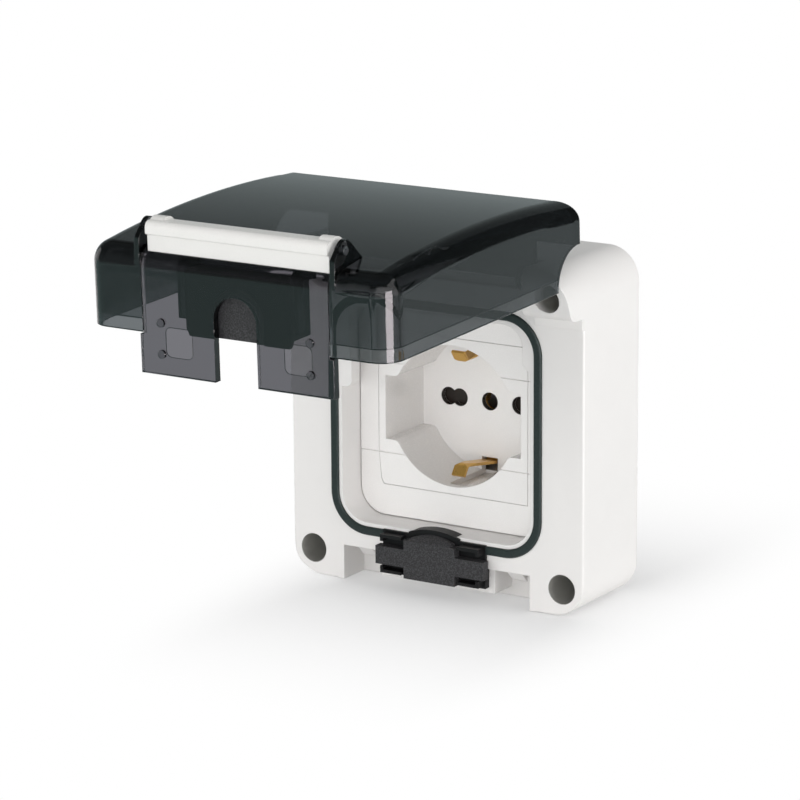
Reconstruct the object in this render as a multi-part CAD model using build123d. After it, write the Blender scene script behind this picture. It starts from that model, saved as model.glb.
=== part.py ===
from build123d import *
import math
import os

# Panel-mounted mains socket with a hinged, sealed lid, in millimetres.
# X runs to the right, Y into the panel and Z up.
# The origin is the centre of the back face, the face that lies on the panel.
# The lid is modelled closed and then turned about its hinge to the open rest position.

# Frame moulding
BODY_WIDTH = 91.0
BODY_HEIGHT = 94.7
BODY_DEPTH = 29.0
BODY_CORNER = 9.0
BODY_EDGE = 0.6
BODY_WALL = 2.6
FRONT_PLATE = 3.0

# Opening in front of the socket, with the lip and the gasket groove around it
OPENING_WIDTH = 58.8
OPENING_HEIGHT = 59.8
OPENING_DROP = 0.45
OPENING_CORNER = 7.8
TUBE_WALL = 2.0
LIP = 1.1
GASKET_WIDTH = 2.4
GASKET_PROUD = 0.7
GROOVE_DEPTH = 3.0
GUARD_REACH = 3.2
GUARD_DEPTH = 4.0
GUARD_RIGHT_Z = 19.1
GUARD_RIGHT_REACH = 2.4
GUARD_RIGHT_ROUND = 6.0
GUARD_LEFT_Z = 6.6
GUARD_ROUND = 2.0

# Fixing holes in the corners
SCREW_PITCH_X = 78.0
SCREW_PITCH_Z = 80.0
SCREW_HOLE = 4.6
COUNTERBORE = 8.0
COLUMN_WALL = 2.0
SCREW_SEAT = 8.0

# Panel seal in the back of the frame
REAR_FLANGE = 7.0
REAR_FLANGE_DEPTH = 4.0
PANEL_SEAL_WIDTH = 2.6
PANEL_SEAL_DEPTH = 2.0

# Notch under the frame, between the two lower corners, with the block that carries the cable seal
NOTCH_WIDTH = 58.4
NOTCH_HEIGHT = 9.6
NOTCH_DEPTH = 10.1
NOTCH_WALL = 2.0
BLOCK_WIDTH = 35.8
BLOCK_SETBACK = 1.2
CATCH_WIDTH = 4.6
CATCH_DROP = 3.2
CATCH_LENGTH = 3.2
CATCH_SETBACK = 1.4

# Hinge
HINGE_FORWARD = 1.8
HINGE_DROP = 4.2
HINGE_PIN = 3.0
HINGE_PIN_LENGTH = 8.6
HINGE_PIN_SEAT = 4.2
PIN_CLEARANCE = 0.05
KNUCKLE_RADIUS = 3.2
KNUCKLE_WIDTH = 4.2
KNUCKLE_GAP = 0.6
LID_OPEN_ANGLE = 88.0

# Shoulders at the top corners that carry the hinge pins
SHOULDER_WIDTH = 14.3
SHOULDER_DROP = 13.6
SHOULDER_FOOT = 6.8
SHOULDER_REACH = 11.6
SHOULDER_ROUND = 3.4
PAD_DROP = 16.7
PAD_RISE = 1.2

# Lid
LID_WIDTH = 89.6
LID_WALL = 2.1
LID_TOP_RISE = 0.8
LID_BOTTOM_INSET = 0.25
LID_RIM_GAP = 1.65
LID_SIDE_GAP = 0.5
LID_CROWN = 24.15
LID_CROWN_RADIUS = 360.0
LID_CROWN_Z = 2.5
LID_CORNER = 6.0
LID_EDGE = 5.5
SHOULDER_CLEARANCE = 0.5
LID_LEDGE = 3.2
LID_RIM_WALL = 1.4

# Latch lever: a clear apron in the lid's free edge with a pale pull bar on it
LATCH_WIDTH = 54.8
LATCH_GAP = 0.3
LATCH_BACK = 6.6
FLAP_WIDTH = 57.0
FLAP_LENGTH = 10.4
FLAP_GAP = 0.45
ARCH_WIDTH = 12.6
ARCH_HEIGHT = 22.0
BAR_WIDTH = 53.4
BAR_FRONT = 3.5
BAR_TOP = 2.6
BAR_BACK = 3.1
BAR_ROUND = 1.5
BAR_UNDERCUT = 2.0
BAR_BEAD = 0.9
BAR_BEAD_HEIGHT = 3.4
EAR_THICKNESS = 1.4
EAR_EYE = 2.8
EAR_GAP = 0.6
EAR_FOOT = 16.0
EAR_BROW = 1.5
EAR_BACK = 8.0
LATCH_PIN = 2.2
LATCH_PIN_GRIP = 3.0
LATCH_PIVOT_RISE = 3.85
LATCH_PIVOT_BACK = 5.6
LATCH_BOSS = 3.3
LATCH_BOSS_WIDTH = 4.0
PIP_DIAMETER = 2.2
PIP_HEIGHT = 0.6
PIP_DROP = 1.0
PIP_X = 22.0
PIP_PITCH = 8.0
POCKET_WIDTH = 8.0
POCKET_HEIGHT = 7.6
POCKET_CORNER = 1.6
POCKET_DEPTH = 0.3
POCKET_X = 17.6
POCKET_BACK = 2.1

# Cable seals
SEAL_WIDTH = 32.2
SEAL_PROUD = 3.4
SEAL_GAP = 0.3
SEAL_TOP_RISE = 2.0
SEAL_RIM = 1.3
SEAL_ARM_REACH = 0.8
SEAL_ARM_RISE = 2.95
SEAL_ARM_DROP = 3.95
SEAL_PAD_WIDTH = 16.0
SEAL_PAD_DEPTH = 2.6
SEAL_RIB = 0.9
SEAL_RIB_LENGTH = 1.9
MOON_WIDTH = 15.8
MOON_HEIGHT = 1.9
MOON_SHOULDER = 0.5
CARRIER_WIDTH = 31.0
CARRIER_DEPTH = 8.4
CARRIER_HEIGHT = 14.5
CARRIER_TIP = 29.5
CARRIER_PLATE = 1.2
GUIDE_WIDTH = 2.2
GUIDE_RISE = 4.4
GUIDE_DEPTH = 2.6
LID_PAD_WIDTH = 22.0
LID_PAD_CROWN = 3.0

# Socket insert
DEVICE_SETBACK = 9.0
DEVICE_WIDTH = 46.6
DEVICE_HEIGHT = 43.0
DEVICE_WALL = 1.8
DEVICE_CHAMFER = 1.5
DEVICE_TAPER = 9.0
BEZEL_THICKNESS = 2.5
BEZEL_GAP = 0.25
DEVICE_GAP = 0.12
COLLAR = 1.4
SEAT_REACH = 2.0
SEAT_THICKNESS = 2.0
RECESS_DIAMETER = 39.0
RECESS_DEPTH = 19.5
RECESS_SLOT_WIDTH = 42.4
RECESS_SLOT_HEIGHT = 17.8
RECESS_FILLET = 2.0
FLOOR = 2.0
PIN_HOLE = 5.0
PIN_PITCH_WIDE = 26.0
PIN_PITCH_NARROW = 19.0
SEAM_Z = 12.6
SEAM_WIDTH = 0.3
SEAM_DEPTH = 0.35

# Contacts, shutters and terminals behind the socket's floor
COVER_DEPTH = 20.0
COVER_WALL = 1.6
STRIP = 0.8
STRIP_BEND = 1.0
CLIP_WIDTH = 4.0
CLIP_SLOT_GAP = 0.5
CLIP_ROOT = 17.2
CLIP_CREST = 14.4
CLIP_CREST_DEPTH = 5.0
CLIP_TIP = 17.2
CLIP_TIP_DEPTH = 3.0
CLIP_ROUND = 3.0
EARTH_RING = 8.4
CONTACT_GAP = 4.2
CONTACT_FLARE = 1.2
CONTACT_WIDTH = 8.6
CONTACT_LENGTH = 7.0
CONTACT_TAIL = 4.0
SHUTTER_WIDTH = 9.4
SHUTTER_HEIGHT = 6.8
SHUTTER_THICKNESS = 2.4
SHUTTER_TRAVEL = 6.0
SHUTTER_GAP = 0.3
SHUTTER_RAIL = 1.2
SPRING_DIAMETER = 2.2
SPRING_LENGTH = 11.6
SPRING_WIRE = 0.4
SPRING_TURNS = 7
SPRING_STOP = 1.6
TERMINAL = 7.0
TERMINAL_LENGTH = 8.0
TERMINAL_PITCH = 12.0
TERMINAL_POST = 4.0
TERMINAL_SCREW = 3.0
TERMINAL_HEAD = 4.6
TERMINAL_HEAD_HEIGHT = 1.4
THREAD_GAP = 0.05
WIRE_HOLE = 3.2
SMALL_SCREW = 2.5
SMALL_HEAD = 4.6
SMALL_HEAD_HEIGHT = 1.8
SCREW_BOSS_WALL = 1.6
SNAP_WIDTH = 10.0
SNAP_THICKNESS = 1.4
SNAP_GAP = 0.1
SNAP_ROOM = 0.3

# Planes and centres that follow from the sizes above
FRONT = -BODY_DEPTH
TOP = BODY_HEIGHT / 2
BOTTOM = -BODY_HEIGHT / 2
OPENING_Z = -OPENING_DROP
SHOULDER_INNER = BODY_WIDTH / 2 - SHOULDER_WIDTH
NOTCH_CEILING = BOTTOM + NOTCH_HEIGHT
HINGE_Y = FRONT - HINGE_FORWARD
HINGE_Z = TOP - HINGE_DROP
RIM = FRONT - LID_RIM_GAP
CROWN = RIM - LID_CROWN
LID_TOP = HINGE_Z + LID_TOP_RISE
LID_BOTTOM = BOTTOM + LID_BOTTOM_INSET
LID_INNER_BOTTOM = LID_BOTTOM + LID_WALL
LATCH_EDGE = LID_BOTTOM + LATCH_BACK
LEDGE = RIM - LID_LEDGE
FLAP_END = RIM + FLAP_LENGTH
BLOCK_BOTTOM = LID_INNER_BOTTOM + LATCH_GAP
SEAL_BOTTOM = BLOCK_BOTTOM + CARRIER_PLATE + SEAL_GAP
SEAL_TOP = OPENING_Z - OPENING_HEIGHT / 2 - SEAL_TOP_RISE + LIP
SEAL_FRONT = FRONT - SEAL_PROUD
SEAL_BACK = FRONT + BLOCK_SETBACK
SEAL_MIDDLE = (SEAL_TOP + SEAL_BOTTOM) / 2
SEAL_RIB_EDGE = (SEAL_TOP - SEAL_BOTTOM - SEAL_RIM) / 2
CARRIER_BACK = SEAL_FRONT - SEAL_GAP
CARRIER_FRONT = CARRIER_BACK - CARRIER_HEIGHT
CARRIER_TOP = BLOCK_BOTTOM + CARRIER_DEPTH
CARRIER_END = RIM - LATCH_GAP / 2
PIVOT_Z = LID_BOTTOM + LATCH_PIVOT_BACK
PIVOT_Y = CROWN + (PIVOT_Z - LID_CROWN_Z) ** 2 / (2 * LID_CROWN_RADIUS) - LATCH_PIVOT_RISE
EAR_INNER = LATCH_WIDTH / 2 + EAR_GAP
CATCH_X = (BLOCK_WIDTH + NOTCH_WIDTH) / 4
DEVICE_Y = FRONT + DEVICE_SETBACK
BEZEL_BACK = DEVICE_Y + BEZEL_THICKNESS
COLLAR_BACK = BEZEL_BACK + COLLAR
SNAP_INNER = DEVICE_WIDTH / 2 + SNAP_GAP + COLLAR
SNAP_OUTER = SNAP_INNER + SNAP_THICKNESS
FLOOR_Y = DEVICE_Y + RECESS_DEPTH
FLOOR_BACK = FLOOR_Y + FLOOR
COVER_BACK = FLOOR_BACK + COVER_DEPTH
PIN_X = (PIN_PITCH_WIDE + PIN_PITCH_NARROW) / 4
STRAP_Y = FLOOR_BACK + STRIP / 2
SHUTTER_Y = FLOOR_BACK + SHUTTER_GAP
CONTACT_Y = SHUTTER_Y + SHUTTER_THICKNESS + SHUTTER_GAP
CONTACT_BACK = CONTACT_Y + CONTACT_LENGTH
TERMINAL_FRONT = CONTACT_BACK + STRIP / 2
TERMINAL_Z = -(DEVICE_HEIGHT / 2 - COVER_WALL - TERMINAL_HEAD_HEIGHT - TERMINAL / 2 - SHUTTER_GAP)
SHUTTER_TOP = SHUTTER_HEIGHT / 2
SIDES = (-1, 1)
SWING_STEPS = 400


def slab(outline, front, back):
    """Extrude an outline drawn in X and Z from the back Y to the front Y."""
    return extrude(Plane.XZ.offset(-back) * outline, amount=back - front)


def rail(profile, left, right):
    """Extrude a profile drawn in Y and Z from the left X to the right X."""
    return extrude(Plane.YZ.offset(left) * profile, amount=right - left)


def block(x0, x1, y0, y1, z0, z1):
    """A box given by its limits along the three axes."""
    return Pos((x0 + x1) / 2, (y0 + y1) / 2, (z0 + z1) / 2) * Box(x1 - x0, y1 - y0, z1 - z0)


def rod_y(x, z, radius, front, back):
    """A round bar along Y."""
    return Pos(x, (front + back) / 2, z) * Rot(90, 0, 0) * Cylinder(radius, back - front)


def rod_x(y, z, radius, left, right):
    """A round bar along X."""
    return Pos((left + right) / 2, y, z) * Rot(0, 90, 0) * Cylinder(radius, right - left)


def rod_z(x, y, radius, low, high):
    """A round bar along Z."""
    return Pos(x, y, (low + high) / 2) * Cylinder(radius, high - low)


def face_of(points):
    """A flat face from corner points drawn in the local plane."""
    return make_face(Polyline(*points, close=True))


def rounded_at(face, corners, radius):
    """Round the corners of a face that lie nearest to the given local points."""
    picked = [min(face.vertices(), key=lambda v: math.hypot(v.X - x, v.Y - y)) for x, y in corners]
    return fillet(picked, radius)


def opening(grow):
    """The opening's outline, grown by an equal margin on every side."""
    size_x = OPENING_WIDTH + 2 * grow
    size_z = OPENING_HEIGHT + 2 * grow
    return Pos(0, OPENING_Z) * RectangleRounded(size_x, size_z, OPENING_CORNER + grow)


def screw_places():
    """Centres of the four fixing holes in X and Z."""
    return [(sx * SCREW_PITCH_X / 2, sz * SCREW_PITCH_Z / 2) for sx in SIDES for sz in SIDES]


def opened(part):
    """Turn a piece of the closed lid about the hinge to the open rest position."""
    return part.rotate(Axis((0, HINGE_Y, HINGE_Z), (1, 0, 0)), -LID_OPEN_ANGLE)


def shoulder_nose():
    """The rounded section of a hinge shoulder in Y and Z."""
    underside = TOP - SHOULDER_DROP
    inside = FRONT + FRONT_PLATE
    foot = (FRONT - SHOULDER_FOOT, underside)
    brow = (FRONT - SHOULDER_REACH, TOP)
    section = face_of([(inside, underside), foot, brow, (inside, TOP)])
    return rounded_at(section, [foot, brow], SHOULDER_ROUND)


def shoulder(side):
    """One hinge shoulder at a top corner, within the frame's rounded outline."""
    inside = FRONT + FRONT_PLATE
    pad_y = FRONT - PAD_RISE
    pad_z = TOP - PAD_DROP
    pad = face_of([(inside, pad_z), (pad_y, pad_z), (pad_y, TOP), (inside, TOP)])
    left, right = sorted((side * SHOULDER_INNER, side * BODY_WIDTH / 2))
    outline = RectangleRounded(BODY_WIDTH, BODY_HEIGHT, BODY_CORNER)
    envelope = slab(outline, FRONT - SHOULDER_REACH, inside)
    return (rail(shoulder_nose(), left, right) + rail(pad, left, right)) & envelope


def seal_outline():
    """The lower cable seal's outline with its arched top."""
    plate = Pos(0, SEAL_MIDDLE) * Rectangle(SEAL_WIDTH, SEAL_TOP - SEAL_BOTTOM)
    return plate + moon(0)


def moon(inset):
    """The arched top of the lower cable seal, with short upright ends, drawn in by an inset."""
    half = MOON_WIDTH / 2 - inset
    end = SEAL_TOP + MOON_SHOULDER - inset
    root = SEAL_TOP - MOON_SHOULDER - inset
    arc = ThreePointArc((-half, end), (0, SEAL_TOP + MOON_HEIGHT - inset), (half, end))
    base = Polyline((half, end), (half, root), (-half, root), (-half, end))
    return make_face([arc, base])


def catch(side):
    """A wedge under the notch's ceiling that the latch's flap snaps over."""
    front = FRONT + CATCH_SETBACK
    low = NOTCH_CEILING - CATCH_DROP
    back = front + CATCH_LENGTH
    wedge = face_of([(front, NOTCH_CEILING), (back, low), (back, NOTCH_CEILING)])
    return rail(wedge, side * CATCH_X - CATCH_WIDTH / 2, side * CATCH_X + CATCH_WIDTH / 2)


def guard_right():
    """A thickening of the lip beside the opening's upper right, with a sloped foot and a rounded top."""
    wall = OPENING_WIDTH / 2 + LIP / 2
    edge = OPENING_WIDTH / 2 - GUARD_RIGHT_REACH
    top = OPENING_Z + OPENING_HEIGHT / 2
    crest = top + LIP / 2
    inner = edge - 2 * GUARD_RIGHT_ROUND
    slope = GUARD_RIGHT_Z - GUARD_RIGHT_REACH
    corner = (edge, top)
    points = [(wall, slope), (edge, GUARD_RIGHT_Z), corner, (inner, top), (inner, crest), (wall, crest)]
    return rounded_at(face_of(points), [corner], GUARD_RIGHT_ROUND)


def guard_left():
    """A thickening of the lip beside the opening's upper left, with a rounded foot."""
    wall = -OPENING_WIDTH / 2 - LIP / 2
    edge = -OPENING_WIDTH / 2 + GUARD_REACH
    top = OPENING_Z + OPENING_HEIGHT / 2
    toe = (edge, GUARD_LEFT_Z)
    return rounded_at(face_of([(wall, GUARD_LEFT_Z), toe, (edge, top), (wall, top)]), [toe], GUARD_ROUND)


def front_frame():
    """The moulded frame: outer skirt, front plate, inner tube, columns, notch and hinge shoulders."""
    outline = RectangleRounded(BODY_WIDTH, BODY_HEIGHT, BODY_CORNER)
    inner_x = BODY_WIDTH - 2 * BODY_WALL
    inner_z = BODY_HEIGHT - 2 * BODY_WALL
    inside = RectangleRounded(inner_x, inner_z, BODY_CORNER - BODY_WALL)
    plate_back = FRONT + FRONT_PLATE
    groove_back = FRONT + GROOVE_DEPTH
    blank = slab(outline, FRONT, 0)
    blank = fillet(blank.faces().sort_by(Axis.Y)[0].edges(), BODY_EDGE)
    frame = blank - slab(inside, plate_back, 0)
    frame += slab(opening(TUBE_WALL), FRONT, 0)
    frame += slab(opening(LIP + GASKET_WIDTH + LIP), FRONT, groove_back + TUBE_WALL)
    frame += slab(opening(REAR_FLANGE), -REAR_FLANGE_DEPTH, 0)
    # Columns for the fixing screws.
    for x, z in screw_places():
        frame += rod_y(x, z, COUNTERBORE / 2 + COLUMN_WALL, FRONT, 0)
    # Walls around the notch, and the thicker wall behind the hinge recess.
    half_notch = NOTCH_WIDTH / 2
    notch_back = FRONT + NOTCH_DEPTH
    half_walls = half_notch + NOTCH_WALL
    walls_back = notch_back + NOTCH_WALL
    frame += block(-half_walls, half_walls, FRONT, walls_back, BOTTOM, NOTCH_CEILING + NOTCH_WALL)
    recess_back = HINGE_Y + KNUCKLE_RADIUS + KNUCKLE_GAP
    recess_low = HINGE_Z - KNUCKLE_RADIUS - KNUCKLE_GAP
    recess_half = SHOULDER_INNER + BODY_WALL
    frame += block(-recess_half, recess_half, FRONT, recess_back + BODY_WALL, recess_low - BODY_WALL, TOP)
    frame += shoulder(-1) + shoulder(1)
    # Openings.
    frame -= slab(opening(0), FRONT, 0)
    frame -= block(-half_notch, half_notch, FRONT, notch_back, BOTTOM, NOTCH_CEILING)
    front_most = FRONT - SHOULDER_REACH
    frame -= block(-SHOULDER_INNER, SHOULDER_INNER, front_most, recess_back, recess_low, TOP)
    frame += block(-BLOCK_WIDTH / 2, BLOCK_WIDTH / 2, SEAL_BACK, notch_back, BLOCK_BOTTOM, NOTCH_CEILING)
    frame += catch(-1) + catch(1)
    guard_back = FRONT + GUARD_DEPTH
    guards = slab(guard_left(), FRONT, guard_back) + slab(guard_right(), FRONT, guard_back)
    frame += guards & slab(opening(LIP / 2), FRONT, guard_back)
    frame -= slab(opening(LIP + GASKET_WIDTH) - opening(LIP), FRONT, groove_back)
    frame -= slab(seal_outline(), front_most, SEAL_BACK)
    frame -= slab(moon(0), front_most, groove_back)
    # Ledge inside the tube that the bezel rests on.
    seat_back = BEZEL_BACK + SEAT_THICKNESS
    snap_x = SNAP_OUTER + SNAP_ROOM
    snap_z = SNAP_WIDTH / 2 + SNAP_ROOM
    seat = slab(opening(TUBE_WALL / 2) - opening(-SEAT_REACH), BEZEL_BACK, seat_back)
    frame += seat - block(-snap_x, snap_x, BEZEL_BACK, seat_back, -snap_z, snap_z)
    for x, z in bezel_screw_places():
        frame += rod_y(x, z, SMALL_SCREW / 2 + SCREW_BOSS_WALL, BEZEL_BACK, seat_back)
    frame -= slab(panel_seal_ring(), -PANEL_SEAL_DEPTH, 0)
    for x, z in screw_places():
        frame -= rod_y(x, z, COUNTERBORE / 2, front_most, -SCREW_SEAT)
        frame -= rod_y(x, z, SCREW_HOLE / 2, -SCREW_SEAT, 0)
    for side in SIDES:
        left, right = sorted((side * SHOULDER_INNER, side * (SHOULDER_INNER + HINGE_PIN_SEAT)))
        frame -= rod_x(HINGE_Y, HINGE_Z, HINGE_PIN / 2, left, right)
    for x, z in bezel_screw_places():
        frame -= rod_y(x, z, SMALL_SCREW / 2, BEZEL_BACK, seat_back)
    return frame


def panel_seal_ring():
    """The outline of the seal in the rear flange."""
    middle = REAR_FLANGE / 2
    return opening(middle + PANEL_SEAL_WIDTH / 2) - opening(middle - PANEL_SEAL_WIDTH / 2)


def panel_gasket():
    """Rubber cord in the back of the frame, flush with the panel face."""
    return slab(panel_seal_ring(), -PANEL_SEAL_DEPTH, 0)


def lid_gasket():
    """Rubber cord in the groove around the opening, open where the cable seal stands."""
    ring = opening(LIP + GASKET_WIDTH) - opening(LIP)
    cord = slab(ring, FRONT - GASKET_PROUD, FRONT + GROOVE_DEPTH)
    crest = cord.faces().sort_by(Axis.Y)[0].edges()
    cord = fillet(crest, GASKET_WIDTH / 4)
    half_gap = SEAL_WIDTH / 2
    top = SEAL_TOP + MOON_HEIGHT
    gap = block(-half_gap, half_gap, FRONT - SEAL_PROUD, FRONT + GROOVE_DEPTH, BOTTOM, top)
    return cord - gap


def cross_outline():
    """The cross of the lower rubber pad: an upright middle and two level arms."""
    middle_height = SEAL_TOP - SEAL_BOTTOM - SEAL_RIM
    middle = Pos(0, SEAL_BOTTOM + middle_height / 2) * Rectangle(SEAL_PAD_WIDTH, middle_height)
    low = SEAL_BOTTOM + SEAL_ARM_RISE
    high = SEAL_TOP - SEAL_ARM_DROP
    arms = Pos(0, (low + high) / 2) * Rectangle(SEAL_WIDTH + 2 * SEAL_ARM_REACH, high - low)
    return middle + arms


def corner_rib(sx, sz):
    """One raised L at a corner of the lower seal holder."""
    edge_x = SEAL_WIDTH / 2 - SEAL_RIM / 2
    inner_x = SEAL_PAD_WIDTH / 2 + SEAL_RIB
    high = SEAL_RIB_EDGE
    low = high - SEAL_RIB_LENGTH
    floor = SEAL_FRONT + SEAL_PAD_DEPTH
    level = block(inner_x, edge_x, SEAL_FRONT, floor, high - SEAL_RIB, high)
    upright = block(edge_x - SEAL_RIB, edge_x, SEAL_FRONT, floor, low, high)
    rib = level + upright
    if sx < 0:
        rib = mirror(rib, Plane.YZ)
    if sz < 0:
        rib = mirror(rib, Plane.XY)
    return Pos(0, 0, SEAL_MIDDLE) * rib


def frame_seal_holder():
    """Black holder of the lower cable seal, on the block under the opening."""
    floor = SEAL_FRONT + SEAL_PAD_DEPTH
    holder = slab(seal_outline(), floor, SEAL_BACK)
    holder += slab(moon(0), floor, FRONT + GROOVE_DEPTH)
    for sx in SIDES:
        for sz in SIDES:
            holder += corner_rib(sx, sz)
    return holder


def frame_seal_pad():
    """Rubber cross in the lower holder, with a sloped half moon inside the holder's arched top."""
    floor = SEAL_FRONT + SEAL_PAD_DEPTH
    pad = slab(cross_outline(), SEAL_FRONT, floor)
    top = SEAL_TOP - SEAL_RIM
    slope = face_of([(SEAL_FRONT, top), (floor, top), (floor, top + MOON_HEIGHT)])
    wedge = rail(slope, -SEAL_PAD_WIDTH / 2, SEAL_PAD_WIDTH / 2)
    return pad + (wedge & slab(moon(SEAL_RIM), SEAL_FRONT, floor))


def bezel_screw_places():
    """Centres of the two screws that hold the bezel on its ledge."""
    x = OPENING_WIDTH / 2 - OPENING_CORNER
    z = OPENING_Z - OPENING_HEIGHT / 2 + SEAT_REACH / 2 + SMALL_HEAD / 2
    return [(-x, z), (x, z)]


def seam(z):
    """A fine level joint line across the bezel and the socket face."""
    half = OPENING_WIDTH / 2
    return block(-half, half, DEVICE_Y, DEVICE_Y + SEAM_DEPTH, z - SEAM_WIDTH / 2, z + SEAM_WIDTH / 2)


def device_outline(grow):
    """The socket face with one sloped lower corner, grown by an equal margin."""
    half_x = DEVICE_WIDTH / 2 + grow
    half_z = DEVICE_HEIGHT / 2 + grow
    notch = DEVICE_CHAMFER
    points = [(-half_x + notch, -half_z), (half_x, -half_z), (half_x, half_z), (-half_x, half_z)]
    points += [(-half_x, -half_z + DEVICE_TAPER), (-half_x + notch / 2, -half_z + notch)]
    return face_of(points)


def recess_outline(grow):
    """The plug recess: a round well with a flat slot at each side."""
    well = Circle(RECESS_DIAMETER / 2 + grow)
    slot = Rectangle(RECESS_SLOT_WIDTH + 2 * grow, RECESS_SLOT_HEIGHT + 2 * grow)
    return well + slot


def device_bezel():
    """Flat adapter plate that frames the socket in the opening."""
    plate = slab(opening(-BEZEL_GAP) - device_outline(DEVICE_GAP), DEVICE_Y, BEZEL_BACK)
    plate -= seam(SEAM_Z) + seam(-SEAM_Z)
    # Snap arms behind the plate that hold the socket's collar.
    for side in SIDES:
        tip = COLLAR_BACK + SNAP_THICKNESS
        arm_left, arm_right = sorted((side * SNAP_INNER, side * SNAP_OUTER))
        nib_left, nib_right = sorted((side * (SNAP_INNER - COLLAR), side * SNAP_OUTER))
        half = SNAP_WIDTH / 2
        plate += block(arm_left, arm_right, BEZEL_BACK, tip, -half, half)
        plate += block(nib_left, nib_right, COLLAR_BACK, tip, -half, half)
    for x, z in bezel_screw_places():
        plate -= rod_y(x, z, SMALL_SCREW / 2, DEVICE_Y + BEZEL_THICKNESS / 4, BEZEL_BACK)
    return plate


def small_screw(x, z, head, tip, shank_radius, head_radius, head_height):
    """A pan-head screw along Y, with its head towards the back and a slot in it."""
    bolt = rod_y(x, z, shank_radius, tip, head)
    bolt += rod_y(x, z, head_radius, head, head + head_height)
    slot_depth = head_height / 2
    slot_width = head_radius / 4
    back = head + head_height
    bolt -= block(x - head_radius, x + head_radius, back - slot_depth, back, z - slot_width, z + slot_width)
    return bolt


def bezel_screws():
    """Two screws from behind that hold the bezel on its ledge."""
    head = BEZEL_BACK + SEAT_THICKNESS
    tip = DEVICE_Y + BEZEL_THICKNESS / 4
    made = []
    for x, z in bezel_screw_places():
        made.append(small_screw(x, z, head, tip, SMALL_SCREW / 2, SMALL_HEAD / 2, SMALL_HEAD_HEIGHT))
    return Compound(children=made)


def clip_slot(side):
    """The slot in the floor and the wall of the well that an earth spring comes through."""
    half = CLIP_WIDTH / 2 + CLIP_SLOT_GAP
    inner = CLIP_CREST + STRIP + CLIP_SLOT_GAP
    outer = RECESS_DIAMETER / 2 + STRIP + CLIP_SLOT_GAP
    z0, z1 = sorted((side * inner, side * outer))
    return block(-half, half, DEVICE_Y + CLIP_TIP_DEPTH - CLIP_SLOT_GAP, FLOOR_BACK, z0, z1)


def pin_holes(front, back):
    """Holes for the plug's pins, a merged pair at each side and one in the middle."""
    made = rod_y(0, 0, PIN_HOLE / 2, front, back)
    for side in SIDES:
        for pitch in (PIN_PITCH_WIDE, PIN_PITCH_NARROW):
            made += rod_y(side * pitch / 2, 0, PIN_HOLE / 2, front, back)
    return made


def socket_front():
    """White socket moulding: face, well with side slots, floor and outer skirt."""
    wall = DEVICE_WALL
    face = slab(device_outline(0), DEVICE_Y, DEVICE_Y + FLOOR)
    cup = slab(recess_outline(wall), DEVICE_Y, FLOOR_BACK) & slab(device_outline(0), DEVICE_Y, FLOOR_BACK)
    skirt = slab(device_outline(0) - device_outline(-wall), DEVICE_Y, FLOOR_BACK)
    collar = slab(device_outline(COLLAR) - device_outline(-wall), BEZEL_BACK, COLLAR_BACK)
    floor = slab(device_outline(0), FLOOR_Y, FLOOR_BACK)
    made = face + cup + skirt + collar + floor
    well = slab(recess_outline(0), DEVICE_Y, FLOOR_Y)
    bends = [e for e in well.edges().filter_by(Axis.Y) if abs(e.center().X) < RECESS_DIAMETER / 2]
    well = fillet(bends, RECESS_FILLET)
    made -= well
    made -= pin_holes(FLOOR_Y, FLOOR_BACK)
    made -= clip_slot(-1) + clip_slot(1)
    made -= seam(SEAM_Z) + seam(-SEAM_Z)
    for x, z in cover_screw_places():
        made -= rod_y(x, z, SMALL_SCREW / 2, FLOOR_Y, FLOOR_BACK)
    for side in SIDES:
        made += shutter_guides(side)
    return made


def shutter_guides(side):
    """Two rails behind the floor that guide a shutter, and the stop for its spring."""
    back = SHUTTER_Y + SHUTTER_THICKNESS
    low = -SHUTTER_TOP
    high = SHUTTER_TOP + SHUTTER_TRAVEL
    near = SHUTTER_WIDTH / 2 + SHUTTER_GAP
    far = near + SHUTTER_RAIL
    stop = SHUTTER_TOP + SPRING_LENGTH
    guides = block(-far, -near, FLOOR_BACK, back, low, high) + block(near, far, FLOOR_BACK, back, low, high)
    guides += block(-SPRING_DIAMETER, SPRING_DIAMETER, FLOOR_BACK, back, stop, stop + SPRING_STOP)
    return Pos(side * PIN_X, 0, 0) * guides


def cover_screw_places():
    """Centres of the screws that hold the rear cover."""
    x = DEVICE_WIDTH / 2 - DEVICE_WALL - SMALL_HEAD / 2
    z = DEVICE_HEIGHT / 2 - DEVICE_WALL - SMALL_HEAD / 2
    return [(x, z), (-x, -z), (-x, z), (x, -z)]


def terminal_places():
    """X centres of the line, earth and neutral terminals."""
    return {"line": -TERMINAL_PITCH, "earth": 0.0, "neutral": TERMINAL_PITCH}


def socket_rear_cover():
    """Rear cover: a box over the contacts with columns for its screws and wire holes."""
    blank = slab(device_outline(0), FLOOR_BACK, COVER_BACK)
    cover = blank - slab(device_outline(-COVER_WALL), FLOOR_BACK, COVER_BACK - COVER_WALL)
    head = COVER_BACK - SMALL_HEAD_HEIGHT
    for x, z in cover_screw_places():
        column = rod_y(x, z, SMALL_HEAD / 2 + COVER_WALL / 2, FLOOR_BACK, COVER_BACK)
        cover += column & blank
        cover -= rod_y(x, z, SMALL_HEAD / 2, head, COVER_BACK)
        cover -= rod_y(x, z, SMALL_SCREW / 2, FLOOR_BACK, head)
    for x in terminal_places().values():
        cover -= rod_y(x, TERMINAL_Z, WIRE_HOLE / 2, COVER_BACK - COVER_WALL, COVER_BACK)
        cover -= rod_z(x, screw_y(), TERMINAL_HEAD / 2, -DEVICE_HEIGHT / 2, -DEVICE_HEIGHT / 2 + COVER_WALL)
    return cover


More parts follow.
